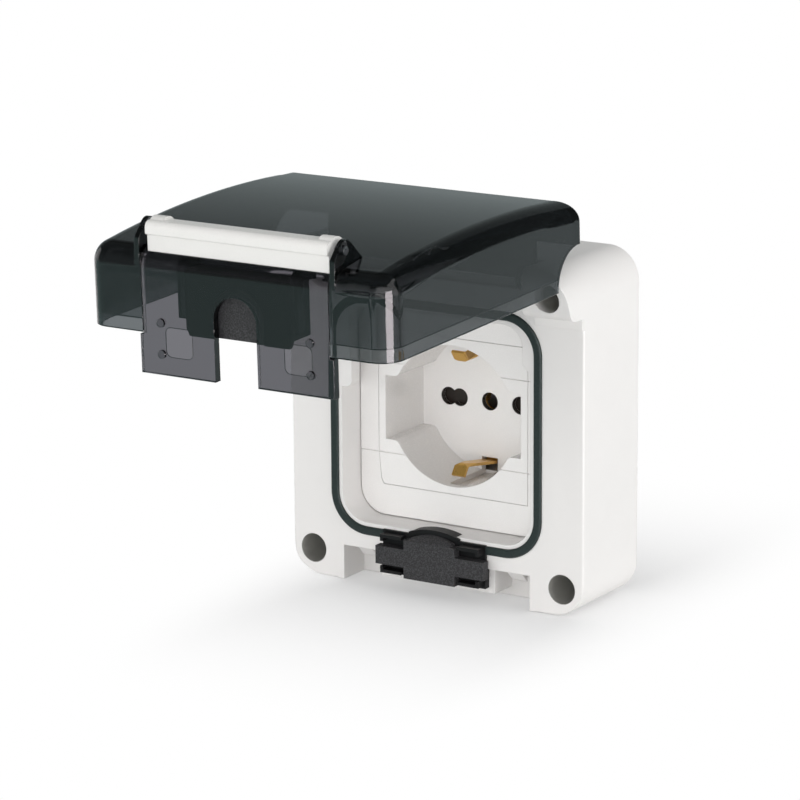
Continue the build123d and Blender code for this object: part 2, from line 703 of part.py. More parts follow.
def rear_cover_screws():
    """Four screws from behind that hold the rear cover on the socket."""
    made = []
    for x, z in cover_screw_places():
        head = COVER_BACK - SMALL_HEAD_HEIGHT
        made.append(small_screw(x, z, head, FLOOR_Y, SMALL_SCREW / 2, SMALL_HEAD / 2, SMALL_HEAD_HEIGHT))
    return Compound(children=made)


def strip_profile(points):
    """The section of a bent strip that follows the given Y and Z points."""
    return trace(FilletPolyline(*points, radius=STRIP_BEND), line_width=STRIP)


def earth_clip():
    """One bent brass strip: a strap behind the floor with a rounded spring arm at each end."""
    crest_y = DEVICE_Y + CLIP_CREST_DEPTH
    tip_y = DEVICE_Y + CLIP_TIP_DEPTH
    arm = [(tip_y, CLIP_TIP), (crest_y, CLIP_CREST), (STRAP_Y, CLIP_ROOT)]
    path = arm + [(y, -z) for y, z in reversed(arm)]
    clip = rail(strip_profile(path), -CLIP_WIDTH / 2, CLIP_WIDTH / 2)
    front = STRAP_Y - STRIP / 2
    back = STRAP_Y + STRIP / 2
    strap = block(-CLIP_WIDTH / 2, CLIP_WIDTH / 2, front, back, -CLIP_ROOT, CLIP_ROOT)
    centre = CLIP_CREST - STRIP / 2 + CLIP_ROUND
    arms = [rod_y(0, side * centre, CLIP_ROUND, DEVICE_Y, back) for side in SIDES]
    clip &= strap + arms
    clip += rod_y(0, 0, EARTH_RING / 2, front, back)
    return clip - rod_y(0, 0, PIN_HOLE / 2, front, back)


def pin_contact(side):
    """A brass U that grips a plug pin, with a tail down to its terminal."""
    grip = CONTACT_GAP / 2 + STRIP / 2
    mouth = CONTACT_Y + STRIP
    neck = mouth + CONTACT_FLARE
    leaf = [(mouth, grip + CONTACT_FLARE), (neck, grip), (CONTACT_BACK, grip)]
    path = leaf + [(y, -z) for y, z in reversed(leaf)]
    centre = side * PIN_X
    contact = rail(strip_profile(path), centre - CONTACT_WIDTH / 2, centre + CONTACT_WIDTH / 2)
    left = side * TERMINAL_PITCH - CONTACT_TAIL / 2
    low = TERMINAL_Z
    tail = block(left, left + CONTACT_TAIL, CONTACT_BACK - STRIP / 2, TERMINAL_FRONT, low, -grip)
    return contact + tail


def screw_y():
    """Y of the terminal screws, at the middle of the terminals."""
    return TERMINAL_FRONT + TERMINAL_LENGTH / 2


def terminal(x):
    """A brass terminal with a wire hole from behind and a screw hole from below."""
    half = TERMINAL / 2
    back = TERMINAL_FRONT + TERMINAL_LENGTH
    low = TERMINAL_Z - half
    made = block(x - half, x + half, TERMINAL_FRONT, back, low, TERMINAL_Z + half)
    made -= rod_y(x, TERMINAL_Z, WIRE_HOLE / 2, TERMINAL_FRONT + STRIP, back)
    return made - rod_z(x, screw_y(), TERMINAL_SCREW / 2 + THREAD_GAP, low, TERMINAL_Z)


def earth_terminal():
    """The middle terminal, with a post that stands on the earth strap."""
    post = rod_y(0, TERMINAL_Z, TERMINAL_POST / 2, STRAP_Y + STRIP / 2, TERMINAL_FRONT)
    return terminal(0) + post


def terminal_screws():
    """Three slotted screws from below, one in each terminal."""
    made = []
    for x in terminal_places().values():
        seat = TERMINAL_Z - TERMINAL / 2
        tip = TERMINAL_Z - WIRE_HOLE / 4
        low = seat - TERMINAL_HEAD_HEIGHT
        bolt = rod_z(x, screw_y(), TERMINAL_SCREW / 2, seat, tip)
        bolt += rod_z(x, screw_y(), TERMINAL_HEAD / 2, low, seat)
        slot = TERMINAL_HEAD / 8
        edge = TERMINAL_HEAD / 2
        bolt -= block(x - edge, x + edge, screw_y() - slot, screw_y() + slot, low, low + slot)
        made.append(bolt)
    return Compound(children=made)


def shutter(side):
    """A sliding plate behind a pair of pin holes, bevelled at its lower edge."""
    half = SHUTTER_WIDTH / 2
    back = SHUTTER_Y + SHUTTER_THICKNESS
    bevel = SHUTTER_THICKNESS / 2
    low = -SHUTTER_TOP
    side_view = [(SHUTTER_Y, low), (SHUTTER_Y, SHUTTER_TOP), (back, SHUTTER_TOP), (back, low + bevel)]
    side_view.append((back - bevel, low))
    return rail(face_of(side_view), side * PIN_X - half, side * PIN_X + half)


def shutter_spring(side):
    """A fine coil spring between a shutter and its stop."""
    radius = (SPRING_DIAMETER - SPRING_WIRE) / 2
    height = SPRING_LENGTH - SPRING_WIRE
    coil = Helix(height / SPRING_TURNS, height, radius)
    wire = sweep(Plane(coil @ 0, z_dir=coil % 0) * Circle(SPRING_WIRE / 2), path=coil)
    depth = SHUTTER_Y + SHUTTER_THICKNESS - SPRING_DIAMETER / 2
    return Pos(side * PIN_X, depth, SHUTTER_TOP + SPRING_WIRE / 2) * wire


def hinge_pin(side):
    """A steel pin pressed in a shoulder, with the lid's knuckle on its free end."""
    outer = SHOULDER_INNER + HINGE_PIN_SEAT
    left, right = sorted((side * (outer - HINGE_PIN_LENGTH), side * outer))
    return rod_x(HINGE_Y, HINGE_Z, HINGE_PIN / 2, left, right)


def lid_outline(inset):
    """The closed lid's outline from the front, rounded at the free edge and square at the hinge."""
    half = LID_WIDTH / 2 - inset
    top = LID_TOP - inset
    low = LID_BOTTOM + inset
    corners = [(-half, low), (half, low), (half, top), (-half, top)]
    return rounded_at(face_of(corners), corners[:2], LID_CORNER - inset)


def lid_form(inset):
    """The lid's closed form, drawn in by an inset on every side but the rim."""
    blank = slab(lid_outline(inset), CROWN - LID_EDGE, RIM)
    dome_y = CROWN + LID_CROWN_RADIUS
    dome = rod_x(dome_y, LID_CROWN_Z, LID_CROWN_RADIUS - inset, -LID_WIDTH, LID_WIDTH)
    form = blank & dome
    crown = form.faces().sort_by(Axis.Y)[0]
    return fillet(crown.edges(), LID_EDGE - inset)


def crown_at(z):
    """Y of the lid's crown at a height."""
    rise = LID_CROWN_RADIUS - math.sqrt(LID_CROWN_RADIUS ** 2 - (z - LID_CROWN_Z) ** 2)
    return CROWN + rise


def shoulder_swing():
    """The largest distance of the shoulder's section from the hinge axis."""
    rim = shoulder_nose().face().outer_wire()
    spots = [rim.position_at(step / SWING_STEPS) for step in range(SWING_STEPS)]
    ahead = [p for p in spots if p.X < FRONT]
    return max(math.hypot(p.X - HINGE_Y, p.Y - HINGE_Z) for p in ahead)


def ear(side):
    """One ear beside the pull bar, a plate that holds a latch pin."""
    brow = (PIVOT_Y + EAR_BROW, LID_BOTTOM + LATCH_GAP)
    foot = (RIM - EAR_FOOT, LID_BOTTOM)
    heel_z = PIVOT_Z + EAR_BACK
    heel = (crown_at(heel_z) + LID_WALL / 2, heel_z)
    eye = Pos(PIVOT_Y, PIVOT_Z) * Circle(EAR_EYE)
    plate = make_hull(eye.edges() + Polyline(brow, foot, heel).edges())
    left, right = sorted((side * EAR_INNER, side * (EAR_INNER + EAR_THICKNESS)))
    return rail(plate, left, right)


def guide(side):
    """One clear guide inside the lid that holds a side of the upper seal carrier."""
    near = CARRIER_WIDTH / 2
    left, right = sorted((side * near, side * (near + GUIDE_WIDTH)))
    end = RIM - GUIDE_RISE
    plate = block(left, right, CROWN, end, BLOCK_BOTTOM, BLOCK_BOTTOM + GUIDE_DEPTH)
    plate += block(left, right, CROWN, CARRIER_FRONT, BLOCK_BOTTOM, CARRIER_TOP)
    root = block(left, right, CROWN, CARRIER_FRONT, LATCH_EDGE + LATCH_GAP, CARRIER_TOP)
    return (plate & lid_form(LID_WALL + LATCH_GAP)) + (root & lid_form(LID_WALL / 2))


def lid_shell():
    """The smoked lid: shell with a thinner rim, guides, hinge knuckles and latch ears."""
    shell = lid_form(0) + ear(-1) + ear(1)
    shell -= lid_form(LID_WALL)
    shell -= slab(lid_outline(LID_RIM_WALL), LEDGE, RIM)
    # Room for the latch, then the guides of the upper cable seal.
    reach = CROWN - LATCH_PIVOT_RISE - LATCH_BOSS
    half_latch = LATCH_WIDTH / 2 + LATCH_GAP
    shell -= block(-half_latch, half_latch, reach, RIM, LID_BOTTOM, LATCH_EDGE + LATCH_GAP)
    shell += guide(-1) + guide(1)
    # Room for the shoulders as the lid turns, then the knuckles on the hinge pins.
    half_lid = LID_WIDTH / 2
    for side in SIDES:
        inside = SHOULDER_INNER - LID_SIDE_GAP
        left, right = sorted((side * inside, side * half_lid))
        shell -= rod_x(HINGE_Y, HINGE_Z, shoulder_swing() + SHOULDER_CLEARANCE, left, right)
        near = SHOULDER_INNER - KNUCKLE_GAP
        left, right = sorted((side * (near - KNUCKLE_WIDTH), side * near))
        shell += rod_x(HINGE_Y, HINGE_Z, KNUCKLE_RADIUS, left, right)
        left, right = sorted((side * (near - KNUCKLE_WIDTH), side * SHOULDER_INNER))
        shell -= rod_x(HINGE_Y, HINGE_Z, HINGE_PIN / 2 + PIN_CLEARANCE, left, right)
        left, right = sorted((side * EAR_INNER, side * (EAR_INNER + EAR_THICKNESS)))
        shell -= rod_x(PIVOT_Y, PIVOT_Z, LATCH_PIN / 2, left, right)
    return shell


def arch(width, apex, low):
    """A round-headed opening in X and Y, as a face to extrude along Z."""
    half = width / 2
    spring_line = apex + half
    arc = ThreePointArc((-half, spring_line), (0, apex), (half, spring_line))
    legs = Polyline((half, spring_line), (half, low), (-half, low), (-half, spring_line))
    return make_face([arc, legs])


def plate_z(outline, low, high):
    """Extrude an outline drawn in X and Y from the low Z to the high Z."""
    return extrude(Plane.XY.offset(low) * outline, amount=high - low)


def latch_apron():
    """The clear apron: the lid's free edge between the ears, with flaps, catch pockets and the arch."""
    half = LATCH_WIDTH / 2
    shell = lid_form(0) - lid_form(LID_WALL)
    apron = shell & block(-half, half, CROWN, RIM, LID_BOTTOM, LATCH_EDGE)
    apron += block(-half, half, RIM, FLAP_END, LID_BOTTOM, LID_INNER_BOTTOM)
    half_flap = FLAP_WIDTH / 2
    apron += block(-half_flap, half_flap, RIM + FLAP_GAP, FLAP_END, LID_BOTTOM, LID_INNER_BOTTOM)
    apex = FLAP_END - ARCH_HEIGHT
    apron -= plate_z(arch(ARCH_WIDTH, apex, FLAP_END), LID_BOTTOM, LID_INNER_BOTTOM)
    for side in SIDES:
        for step in SIDES:
            pip_y = RIM + PIP_DROP + step * PIP_PITCH / 2
            apron += rod_z(side * PIP_X, pip_y, PIP_DIAMETER / 2, LID_BOTTOM - PIP_HEIGHT, LID_BOTTOM)
        pocket = RectangleRounded(POCKET_WIDTH, POCKET_HEIGHT, POCKET_CORNER)
        place = Pos(side * POCKET_X, RIM + POCKET_BACK)
        apron -= plate_z(place * pocket, LID_INNER_BOTTOM - POCKET_DEPTH, LID_INNER_BOTTOM)
    return apron


def latch_bar():
    """The pale pull bar on the apron, with a rounded bead along its front and a boss at each end."""
    front = PIVOT_Z - BAR_FRONT
    top = PIVOT_Y - BAR_TOP
    bead_z = front - BAR_BEAD
    bead_y = top + BAR_BEAD_HEIGHT
    low = crown_at(LATCH_EDGE) + LID_EDGE / 2
    heel = (bead_y + BAR_BEAD, PIVOT_Z + BAR_BACK)
    points = [(low, front), (bead_y, front), (bead_y, bead_z), (top, bead_z)]
    points += [(top, PIVOT_Z + BAR_ROUND), heel, (low, LATCH_EDGE - BAR_UNDERCUT)]
    face = rounded_at(face_of(points), [points[2]], BAR_BEAD / 2)
    face = rounded_at(face, [points[3]], BAR_BEAD_HEIGHT / 2)
    face = rounded_at(face, [points[4]], BAR_ROUND)
    half = BAR_WIDTH / 2
    bar = rail(face, -half, half)
    for side in SIDES:
        left, right = sorted((side * (half - LATCH_BOSS_WIDTH), side * half))
        bar += rod_x(PIVOT_Y, PIVOT_Z, LATCH_BOSS, left, right)
    bar -= lid_form(0)
    for side in SIDES:
        left, right = sorted((side * (half - LATCH_PIN_GRIP - LATCH_GAP), side * half))
        bar -= rod_x(PIVOT_Y, PIVOT_Z, LATCH_PIN / 2 + PIN_CLEARANCE, left, right)
    return bar


def latch_pins():
    """Two steel pins in the ears that the latch turns on."""
    made = []
    for side in SIDES:
        inner = BAR_WIDTH / 2 - LATCH_PIN_GRIP
        outer = EAR_INNER + EAR_THICKNESS
        left, right = sorted((side * inner, side * outer))
        made.append(rod_x(PIVOT_Y, PIVOT_Z, LATCH_PIN / 2, left, right))
    return made


def carrier_window():
    """The round-headed window in the upper seal carrier's front plate."""
    apex = CARRIER_FRONT + LID_PAD_CROWN
    return arch(ARCH_WIDTH + 2 * CARRIER_PLATE, apex, RIM + LATCH_GAP)


def lid_pad_space():
    """The room in the upper seal carrier that the rubber pad fills."""
    half = LID_PAD_WIDTH / 2
    front = BLOCK_BOTTOM + CARRIER_PLATE
    top = CARRIER_TOP - CARRIER_PLATE
    return block(-half, half, CARRIER_FRONT + CARRIER_PLATE, CARRIER_BACK, front, top)


def lid_seal_carrier():
    """Black carrier of the upper cable seal, held between the lid's guides."""
    half = CARRIER_WIDTH / 2
    plate_back = BLOCK_BOTTOM + CARRIER_PLATE
    carrier = block(-half, half, CARRIER_FRONT, CARRIER_BACK, BLOCK_BOTTOM, CARRIER_TOP)
    tip = CARRIER_TIP / 2
    skirt = [(-half, CARRIER_BACK), (half, CARRIER_BACK), (tip, CARRIER_END), (-tip, CARRIER_END)]
    carrier += plate_z(face_of(skirt), BLOCK_BOTTOM, plate_back)
    carrier &= lid_form(LID_WALL + LATCH_GAP)
    carrier -= lid_pad_space()
    return carrier - plate_z(carrier_window(), BLOCK_BOTTOM, plate_back)


def lid_seal_pad():
    """Rubber pad in the upper carrier, with a face that fills the round-headed window."""
    plate_back = BLOCK_BOTTOM + CARRIER_PLATE
    face = plate_z(carrier_window(), BLOCK_BOTTOM + CARRIER_PLATE / 2, plate_back)
    half = LID_PAD_WIDTH / 2
    face &= block(-half, half, CARRIER_FRONT, CARRIER_END, BLOCK_BOTTOM, plate_back)
    return lid_pad_space() + face


def nodes():
    """Every piece of the assembly by its node name, at rest."""
    places = terminal_places()
    made = {
        "front_frame": front_frame(),
        "panel_gasket": panel_gasket(),
        "lid_gasket": lid_gasket(),
        "frame_seal_holder": frame_seal_holder(),
        "frame_seal_pad": frame_seal_pad(),
        "device_bezel": device_bezel(),
        "bezel_screws": bezel_screws(),
        "socket_front": socket_front(),
        "socket_rear_cover": socket_rear_cover(),
        "rear_cover_screws": rear_cover_screws(),
        "earth_clip": earth_clip(),
        "line_contact": pin_contact(-1),
        "neutral_contact": pin_contact(1),
        "line_terminal": terminal(places["line"]),
        "earth_terminal": earth_terminal(),
        "neutral_terminal": terminal(places["neutral"]),
        "terminal_screws": terminal_screws(),
        "shutter_left": shutter(-1),
        "shutter_right": shutter(1),
        "shutter_spring_left": shutter_spring(-1),
        "shutter_spring_right": shutter_spring(1),
        "hinge_pin_left": hinge_pin(-1),
        "hinge_pin_right": hinge_pin(1),
        "lid_shell": opened(lid_shell()),
        "latch_apron": opened(latch_apron()),
        "latch_bar": opened(latch_bar()),
        "latch_pins": Compound(children=[opened(pin) for pin in latch_pins()]),
        "lid_seal_carrier": opened(lid_seal_carrier()),
        "lid_seal_pad": opened(lid_seal_pad()),
    }
    return made


os.makedirs("parts", exist_ok=True)
for name, piece in nodes().items():
    export_step(piece, f"parts/{name}.step")
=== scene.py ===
"""Looks of a panel-mounted mains socket with a sealed, smoked, hinged lid.

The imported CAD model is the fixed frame. This script dresses its pieces and sets the studio.
Lengths are in metres in the frame's axes: X to the right, Y into the panel and Z up.
Values whose names end in _mm are in millimetres.
"""

import logging
import math
from dataclasses import dataclass, field
from enum import Enum

import bpy
from mathutils import Matrix, Vector


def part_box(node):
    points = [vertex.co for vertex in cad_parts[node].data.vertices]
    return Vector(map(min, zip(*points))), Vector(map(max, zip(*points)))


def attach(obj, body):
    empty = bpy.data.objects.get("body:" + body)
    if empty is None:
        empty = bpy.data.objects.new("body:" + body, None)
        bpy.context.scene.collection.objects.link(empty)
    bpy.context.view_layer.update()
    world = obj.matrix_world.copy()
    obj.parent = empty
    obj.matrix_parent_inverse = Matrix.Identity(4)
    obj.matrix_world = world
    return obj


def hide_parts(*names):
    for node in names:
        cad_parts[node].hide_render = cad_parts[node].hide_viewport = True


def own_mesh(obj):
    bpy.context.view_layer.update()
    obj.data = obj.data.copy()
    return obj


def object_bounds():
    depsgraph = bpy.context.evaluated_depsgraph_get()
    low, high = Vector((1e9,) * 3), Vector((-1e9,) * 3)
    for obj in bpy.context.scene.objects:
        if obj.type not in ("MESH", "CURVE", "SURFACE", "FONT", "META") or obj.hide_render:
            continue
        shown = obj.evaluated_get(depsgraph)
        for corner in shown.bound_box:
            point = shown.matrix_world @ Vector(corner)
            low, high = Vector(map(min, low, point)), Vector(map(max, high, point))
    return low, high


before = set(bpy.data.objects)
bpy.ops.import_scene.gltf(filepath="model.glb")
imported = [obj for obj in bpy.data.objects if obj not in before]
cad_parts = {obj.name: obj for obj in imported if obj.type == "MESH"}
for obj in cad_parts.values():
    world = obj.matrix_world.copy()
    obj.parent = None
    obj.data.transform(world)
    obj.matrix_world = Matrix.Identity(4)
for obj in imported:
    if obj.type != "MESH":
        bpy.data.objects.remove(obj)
CAD_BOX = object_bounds()

log = logging.getLogger("panel_socket")
Colour = tuple[float, float, float, float]
Point = tuple[float, float, float]

MM = 0.001
WHITE: Colour = (1.0, 1.0, 1.0, 1.0)
# The sRGB curve: a straight foot, then a power.
SRGB_TOP = 255
SRGB_FOOT_END = 0.04045
SRGB_FOOT_SLOPE = 12.92
SRGB_OFFSET = 0.055
SRGB_POWER = 2.4
# Most values of a noise pattern lie between these two.
NOISE_LOW = 0.3
NOISE_HIGH = 0.7
# How many rays round off an edge at each point.
EDGE_SAMPLES = 6


class Ray(Enum):
    """The rays that see the white background, by their output on the light path node."""

    CAMERA = "Is Camera Ray"
    GLOSSY = "Is Glossy Ray"
    TRANSMISSION = "Is Transmission Ray"


class Front(Enum):
    """The axis of its own that a studio object turns to what it points at."""

    LAMP = "-Z"
    CARD = "Z"


def linear(hex_colour: str) -> Colour:
    """Turn an sRGB hex value into a linear colour.

    Args:
        hex_colour: six hex digits.

    Returns:
        Red, green, blue and alpha, linear.
    """
    red, green, blue = (
        part / SRGB_FOOT_SLOPE if part <= SRGB_FOOT_END
        else ((part + SRGB_OFFSET) / (1 + SRGB_OFFSET)) ** SRGB_POWER
        for part in (int(hex_colour[i:i + 2], 16) / SRGB_TOP for i in (0, 2, 4))
    )
    return red, green, blue, 1.0


def add_node(
    tree: bpy.types.NodeTree, kind: str, inputs: dict[str | int, object] | None = None, **settings: object
) -> bpy.types.Node:
    """Add a node with its settings and links.

    Args:
        tree: the node tree that gets the node.
        kind: Blender's name of the node type.
        inputs: a value or another node's output for each input, by name or place.
        settings: the node's own properties.

    Returns:
        The new node.
    """
    node = tree.nodes.new(kind)
    for name, value in settings.items():
        setattr(node, name, value)
    for key, value in (inputs or {}).items():
        if isinstance(value, bpy.types.NodeSocket):
            tree.links.new(value, node.inputs[key])
        else:
            node.inputs[key].default_value = value
    return node


def empty_material(name: str) -> bpy.types.Material:
    """Make a material with an empty node tree.

    Args:
        name: the material's name.

    Returns:
        The material.
    """
    material = bpy.data.materials.new(name)
    material.use_nodes = True
    material.node_tree.nodes.clear()
    return material


def white_rays(tree: bpy.types.NodeTree) -> bpy.types.NodeSocket:
    """Add up the rays that see the white background.

    Args:
        tree: the node tree that gets the nodes.

    Returns:
        An output that is 1 for those rays and 0 for the others.
    """
    path = add_node(tree, "ShaderNodeLightPath")
    total = path.outputs[Ray.CAMERA.value]
    for ray in (Ray.GLOSSY, Ray.TRANSMISSION):
        total = add_node(
            tree, "ShaderNodeMath", {0: total, 1: path.outputs[ray.value]}, operation="ADD", use_clamp=True
        ).outputs[0]
    return total


def add_object(name: str, data: bpy.types.ID) -> bpy.types.Object:
    """Make an object and put it in the scene.

    Args:
        name: the object's name.
        data: its mesh, lamp or camera.

    Returns:
        The object.
    """
    made = bpy.data.objects.new(name, data)
    bpy.context.scene.collection.objects.link(made)
    return made


def flat_sheet(name: str, half_x: float, half_y: float, level: float) -> bpy.types.Mesh:
    """Make one level rectangle about the Z axis.

    Args:
        name: the mesh's name.
        half_x: half its length along X.
        half_y: half its length along Y.
        level: its height.

    Returns:
        The mesh.
    """
    mesh = bpy.data.meshes.new(name)
    corners = [(x * half_x, y * half_y, level) for x, y in ((-1, -1), (1, -1), (1, 1), (-1, 1))]
    mesh.from_pydata(corners, [], [(0, 1, 2, 3)])
    return mesh


def point_at(made: bpy.types.Object, place: Point, aim: Point, front: Front) -> None:
    """Put a studio object in its place and turn it to what it points at.

    Args:
        made: the object.
        place: where its middle goes.
        aim: the point that it faces.
        front: the axis of its own that faces that point.
    """
    made.location = place
    made.rotation_mode = "QUATERNION"
    made.rotation_quaternion = (Vector(aim) - Vector(place)).to_track_quat(front.value, "Y")


@dataclass(frozen=True)
class PaintedHoleShade:
    """Painted shade on the walls of round holes along Y, set out evenly about the frame's origin."""

    # The colour of the painted shade.
    colour: str
    pitch_x_mm: float
    pitch_z_mm: float
    bore_mm: float
    start_mm: float
    fade_mm: float
    end_mm: float
    slack_mm: float = 0.05

    def tint(
        self, tree: bpy.types.NodeTree, place: bpy.types.NodeSocket, plain: bpy.types.NodeSocket
    ) -> bpy.types.NodeSocket:
        """Paint shade over a colour inside the holes.

        Args:
            tree: the node tree that gets the nodes.
            place: the position on the object.
            plain: the colour outside the holes.

        Returns:
            The colour with painted shade on the holes' walls.
        """
        folded = add_node(tree, "ShaderNodeVectorMath", {0: place}, operation="ABSOLUTE").outputs["Vector"]
        # Seen along the holes, so the depth is left out of the distance.
        flat = add_node(
            tree, "ShaderNodeVectorMath", {0: folded, 1: (1.0, 0.0, 1.0)}, operation="MULTIPLY"
        ).outputs["Vector"]
        centre = (self.pitch_x_mm / 2 * MM, 0.0, self.pitch_z_mm / 2 * MM)
        off = add_node(
            tree, "ShaderNodeVectorMath", {0: flat, 1: centre}, operation="DISTANCE"
        ).outputs["Value"]
        reach = (self.bore_mm / 2 + self.slack_mm) * MM
        inside = add_node(tree, "ShaderNodeMath", {0: off, 1: reach}, operation="LESS_THAN").outputs[0]
        depth = add_node(tree, "ShaderNodeSeparateXYZ", {0: place}).outputs["Y"]
        deep = add_node(
            tree, "ShaderNodeMapRange",
            {"Value": depth, "From Min": self.start_mm * MM,
             "From Max": (self.start_mm + self.fade_mm) * MM},
        ).outputs["Result"]
        before = add_node(
            tree, "ShaderNodeMath", {0: depth, 1: self.end_mm * MM}, operation="LESS_THAN"
        ).outputs[0]
        share = inside
        for limit in (deep, before):
            share = add_node(tree, "ShaderNodeMath", {0: share, 1: limit}, operation="MULTIPLY").outputs[0]
        return add_node(
            tree, "ShaderNodeMix", {"Factor": share, "A": plain, "B": linear(self.colour)}, data_type="RGBA",
        ).outputs["Result"]


@dataclass(frozen=True)
class MouldedPlastic:
    """An opaque moulded plastic with the fine grain of its spark-eroded mould."""

    name: str
    colour: str
    shade: str
    roughness: float
    ior: float
    gloss: float
    grain_mm: float
    grain_depth_mm: float
    cloud_mm: float
    edge_mm: float
    # Painted shade on the walls of deep holes.
    hole_shades: tuple[PaintedHoleShade, ...] = ()
    cloud_detail: float = 3.0
    cloud_fineness: float = 0.55
    grain_detail: float = 2.0
    grain_fineness: float = 0.6
    grain_strength: float = 0.35
    rough_spread: float = 0.12

    def material(self) -> bpy.types.Material:
        """Build the node tree.

        Returns:
            The material.
        """
        made = empty_material(self.name)
        tree = made.node_tree
        place = add_node(tree, "ShaderNodeTexCoord").outputs["Object"]
        # Slow drift of the pigment through the melt, a few millimetres wide and barely seen.
        cloud = add_node(
            tree, "ShaderNodeTexNoise",
            {"Vector": place, "Scale": 1 / (self.cloud_mm * MM),
             "Detail": self.cloud_detail, "Roughness": self.cloud_fineness},
        ).outputs["Fac"]
        tint = add_node(
            tree, "ShaderNodeMix",
            {"Factor": cloud, "A": linear(self.colour), "B": linear(self.shade)}, data_type="RGBA",
        ).outputs["Result"]
        # Painted shade on the walls of deep holes.
        for hole_shade in self.hole_shades:
            tint = hole_shade.tint(tree, place, tint)
        # The grain is finer than a pixel, so it is drawn coarse enough to break up the gloss.
        grain = add_node(
            tree, "ShaderNodeTexNoise",
            {"Vector": place, "Scale": 1 / (self.grain_mm * MM),
             "Detail": self.grain_detail, "Roughness": self.grain_fineness},
        ).outputs["Fac"]
        rough = add_node(
            tree, "ShaderNodeMapRange",
            {"Value": grain, "From Min": NOISE_LOW, "From Max": NOISE_HIGH,
             "To Min": self.roughness * (1 - self.rough_spread),
             "To Max": self.roughness * (1 + self.rough_spread)},
        ).outputs["Result"]
        edge = add_node(
            tree, "ShaderNodeBevel", {"Radius": self.edge_mm * MM}, samples=EDGE_SAMPLES
        ).outputs["Normal"]
        bump = add_node(
            tree, "ShaderNodeBump",
            {"Strength": self.grain_strength, "Distance": self.grain_depth_mm * MM,
             "Height": grain, "Normal": edge},
        ).outputs["Normal"]
        skin = add_node(
            tree, "ShaderNodeBsdfPrincipled",
            {"Base Color": tint, "Roughness": rough, "IOR": self.ior,
             "Specular IOR Level": self.gloss, "Normal": bump},
        )
        add_node(tree, "ShaderNodeOutputMaterial", {"Surface": skin.outputs["BSDF"]})
        return made


@dataclass(frozen=True)
class SmokedPolycarbonate:
    """A clear moulded plastic with a dark dye all through it, polished in the mould."""

    name: str
    hue: str
    wall_mm: float
    wall_pass: float
    roughness: float
    ior: float
    wave_mm: float
    wave_depth_mm: float
    edge_mm: float
    wave_detail: float = 1.0
    wave_fineness: float = 0.4
    wave_strength: float = 0.5

    def density(self) -> float:
        """Absorption per metre of a black dye that lets the stated share of light through one wall."""
        return -math.log(self.wall_pass) / (self.wall_mm * MM)

    def material(self) -> bpy.types.Material:
        """Build the node tree.

        Returns:
            The material.
        """
        made = empty_material(self.name)
        tree = made.node_tree
        place = add_node(tree, "ShaderNodeTexCoord").outputs["Object"]
        # Flow of the melt leaves slow waves in the polished skin, which bend the reflections a little.
        wave = add_node(
            tree, "ShaderNodeTexNoise",
            {"Vector": place, "Scale": 1 / (self.wave_mm * MM),
             "Detail": self.wave_detail, "Roughness": self.wave_fineness},
        ).outputs["Fac"]
        edge = add_node(
            tree, "ShaderNodeBevel", {"Radius": self.edge_mm * MM}, samples=EDGE_SAMPLES
        ).outputs["Normal"]
        bump = add_node(
            tree, "ShaderNodeBump",
            {"Strength": self.wave_strength, "Distance": self.wave_depth_mm * MM,
             "Height": wave, "Normal": edge},
        ).outputs["Normal"]
        skin = add_node(
            tree, "ShaderNodeBsdfPrincipled",
            {"Base Color": WHITE, "Roughness": self.roughness, "IOR": self.ior,
             "Transmission Weight": 1.0, "Normal": bump},
        )
        dye = add_node(
            tree, "ShaderNodeVolumeAbsorption", {"Color": linear(self.hue), "Density": self.density()},
        )
        add_node(
            tree, "ShaderNodeOutputMaterial",
            {"Surface": skin.outputs["BSDF"], "Volume": dye.outputs["Volume"]},
        )
        return made


@dataclass(frozen=True)
class SealRubber:
    """An elastomer, matt, with pale specks of filler at its surface."""

    name: str
    colour: str
    speck: str
    roughness: float
    ior: float
    gloss: float
    speck_mm: float
    speck_share: float
    pit_mm: float
    edge_mm: float
    speck_detail: float = 2.0
    speck_fineness: float = 0.7
    speck_low: float = 0.42
    speck_high: float = 0.68
    pit_strength: float = 0.6

    def material(self) -> bpy.types.Material:
        """Build the node tree.

        Returns:
            The material.
        """
        made = empty_material(self.name)
        tree = made.node_tree
        place = add_node(tree, "ShaderNodeTexCoord").outputs["Object"]
        spots = add_node(
            tree, "ShaderNodeTexNoise",
            {"Vector": place, "Scale": 1 / (self.speck_mm * MM),
             "Detail": self.speck_detail, "Roughness": self.speck_fineness},
        ).outputs["Fac"]
        share = add_node(
            tree, "ShaderNodeMapRange",
            {"Value": spots, "From Min": self.speck_low, "From Max": self.speck_high,
             "To Min": 0.0, "To Max": self.speck_share},
        ).outputs["Result"]
        tint = add_node(
            tree, "ShaderNodeMix",
            {"Factor": share, "A": linear(self.colour), "B": linear(self.speck)}, data_type="RGBA",
        ).outputs["Result"]
        edge = add_node(
            tree, "ShaderNodeBevel", {"Radius": self.edge_mm * MM}, samples=EDGE_SAMPLES
        ).outputs["Normal"]
        bump = add_node(
            tree, "ShaderNodeBump",
            {"Strength": self.pit_strength, "Distance": self.pit_mm * MM, "Height": spots, "Normal": edge},
        ).outputs["Normal"]
        skin = add_node(
            tree, "ShaderNodeBsdfPrincipled",
            {"Base Color": tint, "Roughness": self.roughness, "IOR": self.ior,
             "Specular IOR Level": self.gloss, "Normal": bump},
        )
        add_node(tree, "ShaderNodeOutputMaterial", {"Surface": skin.outputs["BSDF"]})
        return made


